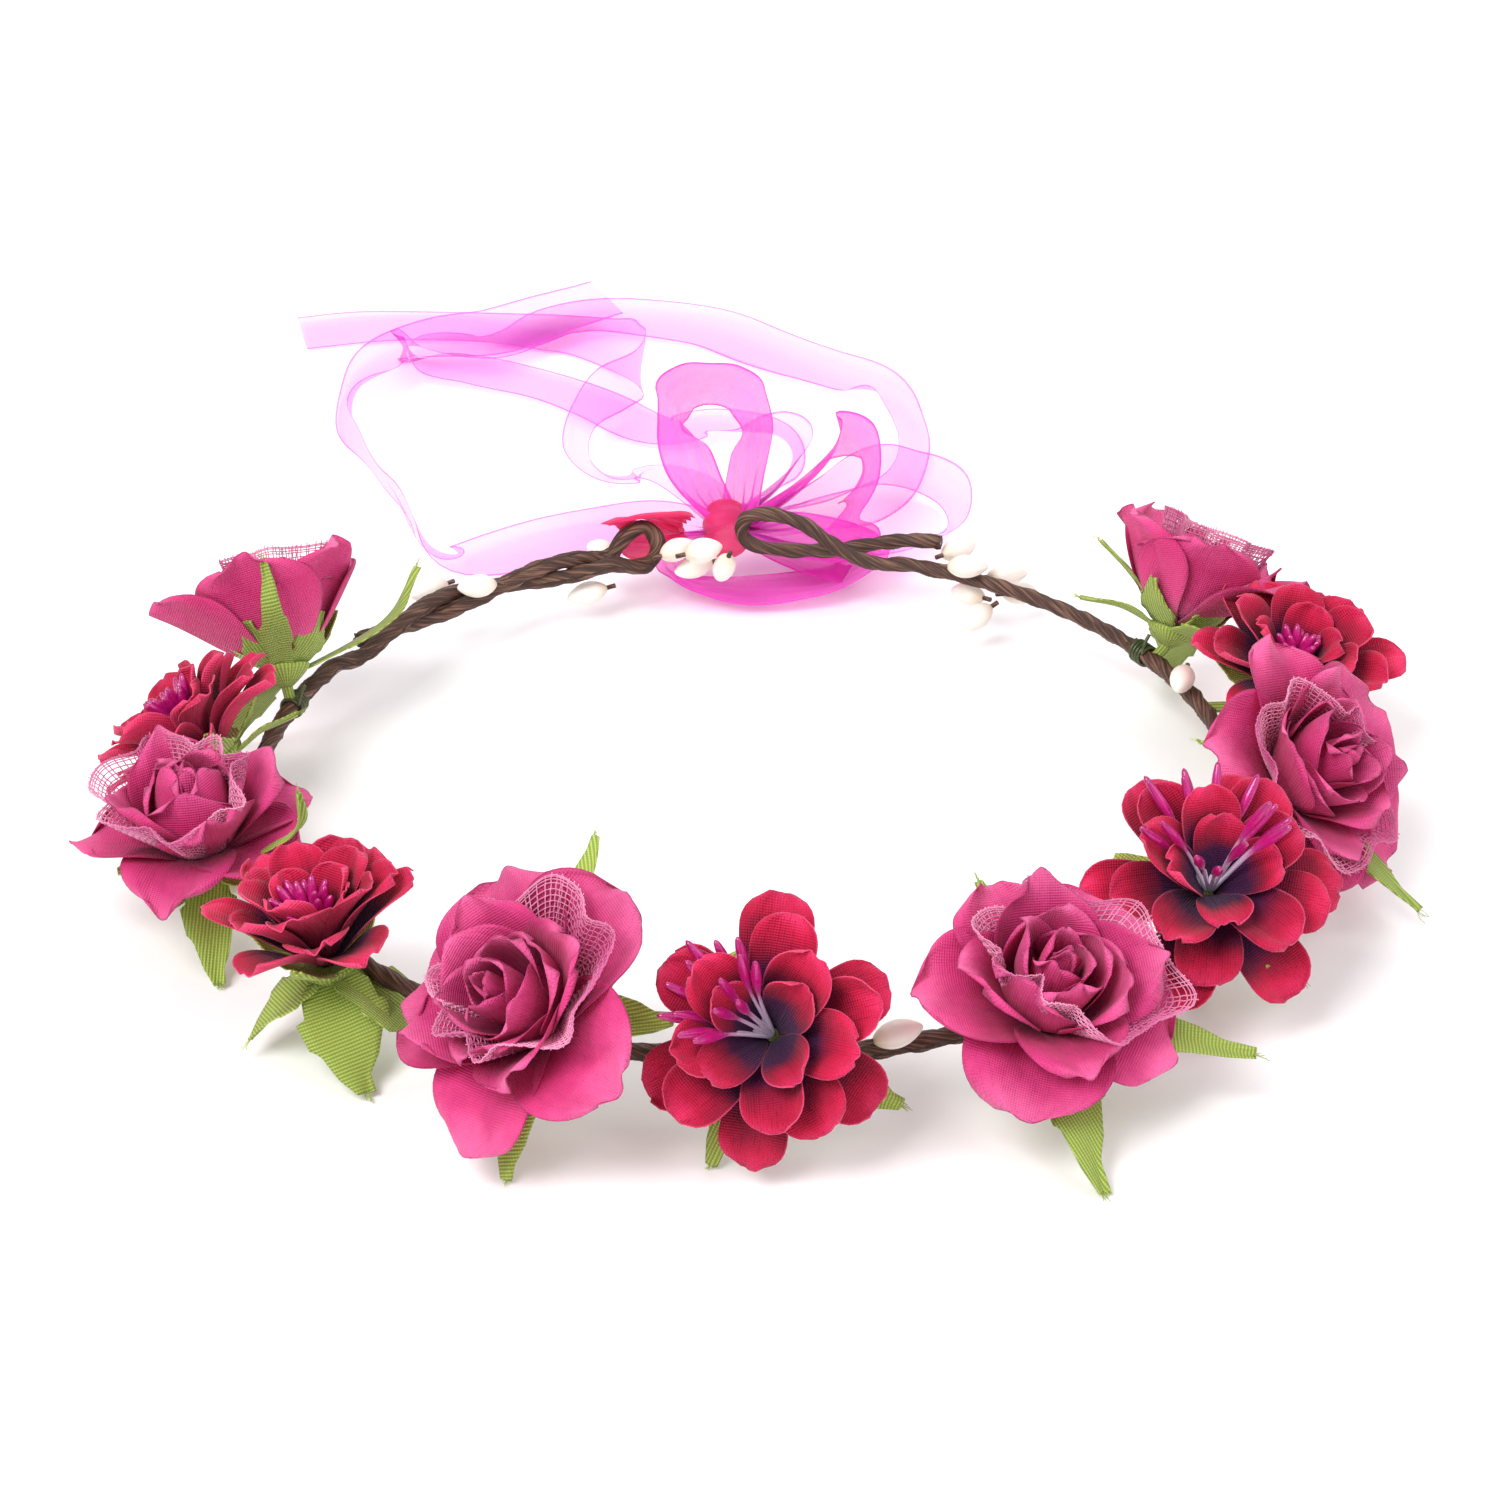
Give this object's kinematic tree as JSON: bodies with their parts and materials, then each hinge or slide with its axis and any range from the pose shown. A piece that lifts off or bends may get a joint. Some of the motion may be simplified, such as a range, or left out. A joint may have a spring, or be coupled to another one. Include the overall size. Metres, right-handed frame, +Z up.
{
  "type": "flower crown",
  "caption": "Open wire hoop with fabric roses and small blossoms, leaf calyxes, pip buds and a sheer ribbon bow between its rear loops.",
  "frame": {"origin": "middle of the head opening on the plane the crown rests on", "axes": "+Z up through the head opening, -Y the front of the crown, +X the wearer's left seen from the front"},
  "size_m": [0.2428, 0.3584, 0.044],
  "materials": {
    "steel_core": "satin",
    "paper_wrap": "matt",
    "binding_wire": "satin",
    "leaf_cloth": "matt",
    "rose_cloth": "satin",
    "mesh_netting": "matt",
    "crimson_cloth": "satin",
    "stamen_pearl": "pearl",
    "pip_bud": "satin",
    "organza": "sheer"
  },
  "bodies": {
    "garland": {"garland_core": "steel_core", "garland_wrap": "paper_wrap", "left_binding": "binding_wire", "right_binding": "binding_wire", "rose_1_calyx": "leaf_cloth", "rose_1_outer_petals": "rose_cloth", "rose_1_mesh_frill": "mesh_netting", "rose_1_heart": "rose_cloth", "rose_2_calyx": "leaf_cloth", "rose_2_outer_petals": "rose_cloth", "rose_2_mesh_frill": "mesh_netting", "rose_2_heart": "rose_cloth", "rose_3_calyx": "leaf_cloth", "rose_3_outer_petals": "rose_cloth", "rose_3_mesh_frill": "mesh_netting", "rose_3_heart": "rose_cloth", "rose_4_calyx": "leaf_cloth", "rose_4_outer_petals": "rose_cloth", "rose_4_mesh_frill": "mesh_netting", "rose_4_heart": "rose_cloth", "rose_5_calyx": "leaf_cloth", "rose_5_outer_petals": "rose_cloth", "rose_5_mesh_frill": "mesh_netting", "rose_5_heart": "rose_cloth", "rose_6_calyx": "leaf_cloth", "rose_6_outer_petals": "rose_cloth", "rose_6_mesh_frill": "mesh_netting", "rose_6_heart": "rose_cloth", "crimson_1_calyx": "leaf_cloth", "crimson_1_petals": "crimson_cloth", "crimson_1_stamens": "stamen_pearl", "crimson_2_calyx": "leaf_cloth", "crimson_2_petals": "crimson_cloth", "crimson_2_stamens": "stamen_pearl", "crimson_3_calyx": "leaf_cloth", "crimson_3_petals": "crimson_cloth", "crimson_3_stamens": "stamen_pearl", "crimson_4_calyx": "leaf_cloth", "crimson_4_petals": "crimson_cloth", "crimson_4_stamens": "stamen_pearl", "crimson_5_calyx": "leaf_cloth", "crimson_5_petals": "crimson_cloth", "crimson_5_stamens": "stamen_pearl", "front_buds": "pip_bud"},
    "left_arm": {"left_arm_core": "steel_core", "left_arm_wrap": "paper_wrap", "left_buds": "pip_bud", "left_tip_buds": "pip_bud", "eye_band": "organza"},
    "right_arm": {"right_arm_core": "steel_core", "right_arm_wrap": "paper_wrap", "right_buds": "pip_bud", "ribbon_knot": "organza", "upright_loop": "organza", "side_loops": "organza", "long_loop": "organza", "front_tail": "organza", "back_tail": "organza"}
  },
  "joints": [
    {"name": "left_arm_flex", "type": "hinge", "parent": "garland", "child": "left_arm", "pos_m": [-0.0853, 0.03446, 0.014], "axis": [0, 0, 1], "range_deg": [-2, 4]},
    {"name": "right_arm_flex", "type": "hinge", "parent": "garland", "child": "right_arm", "pos_m": [0.07443, 0.05408, 0.014], "axis": [0, 0, -1], "range_deg": [-2, 4]}
  ]
}
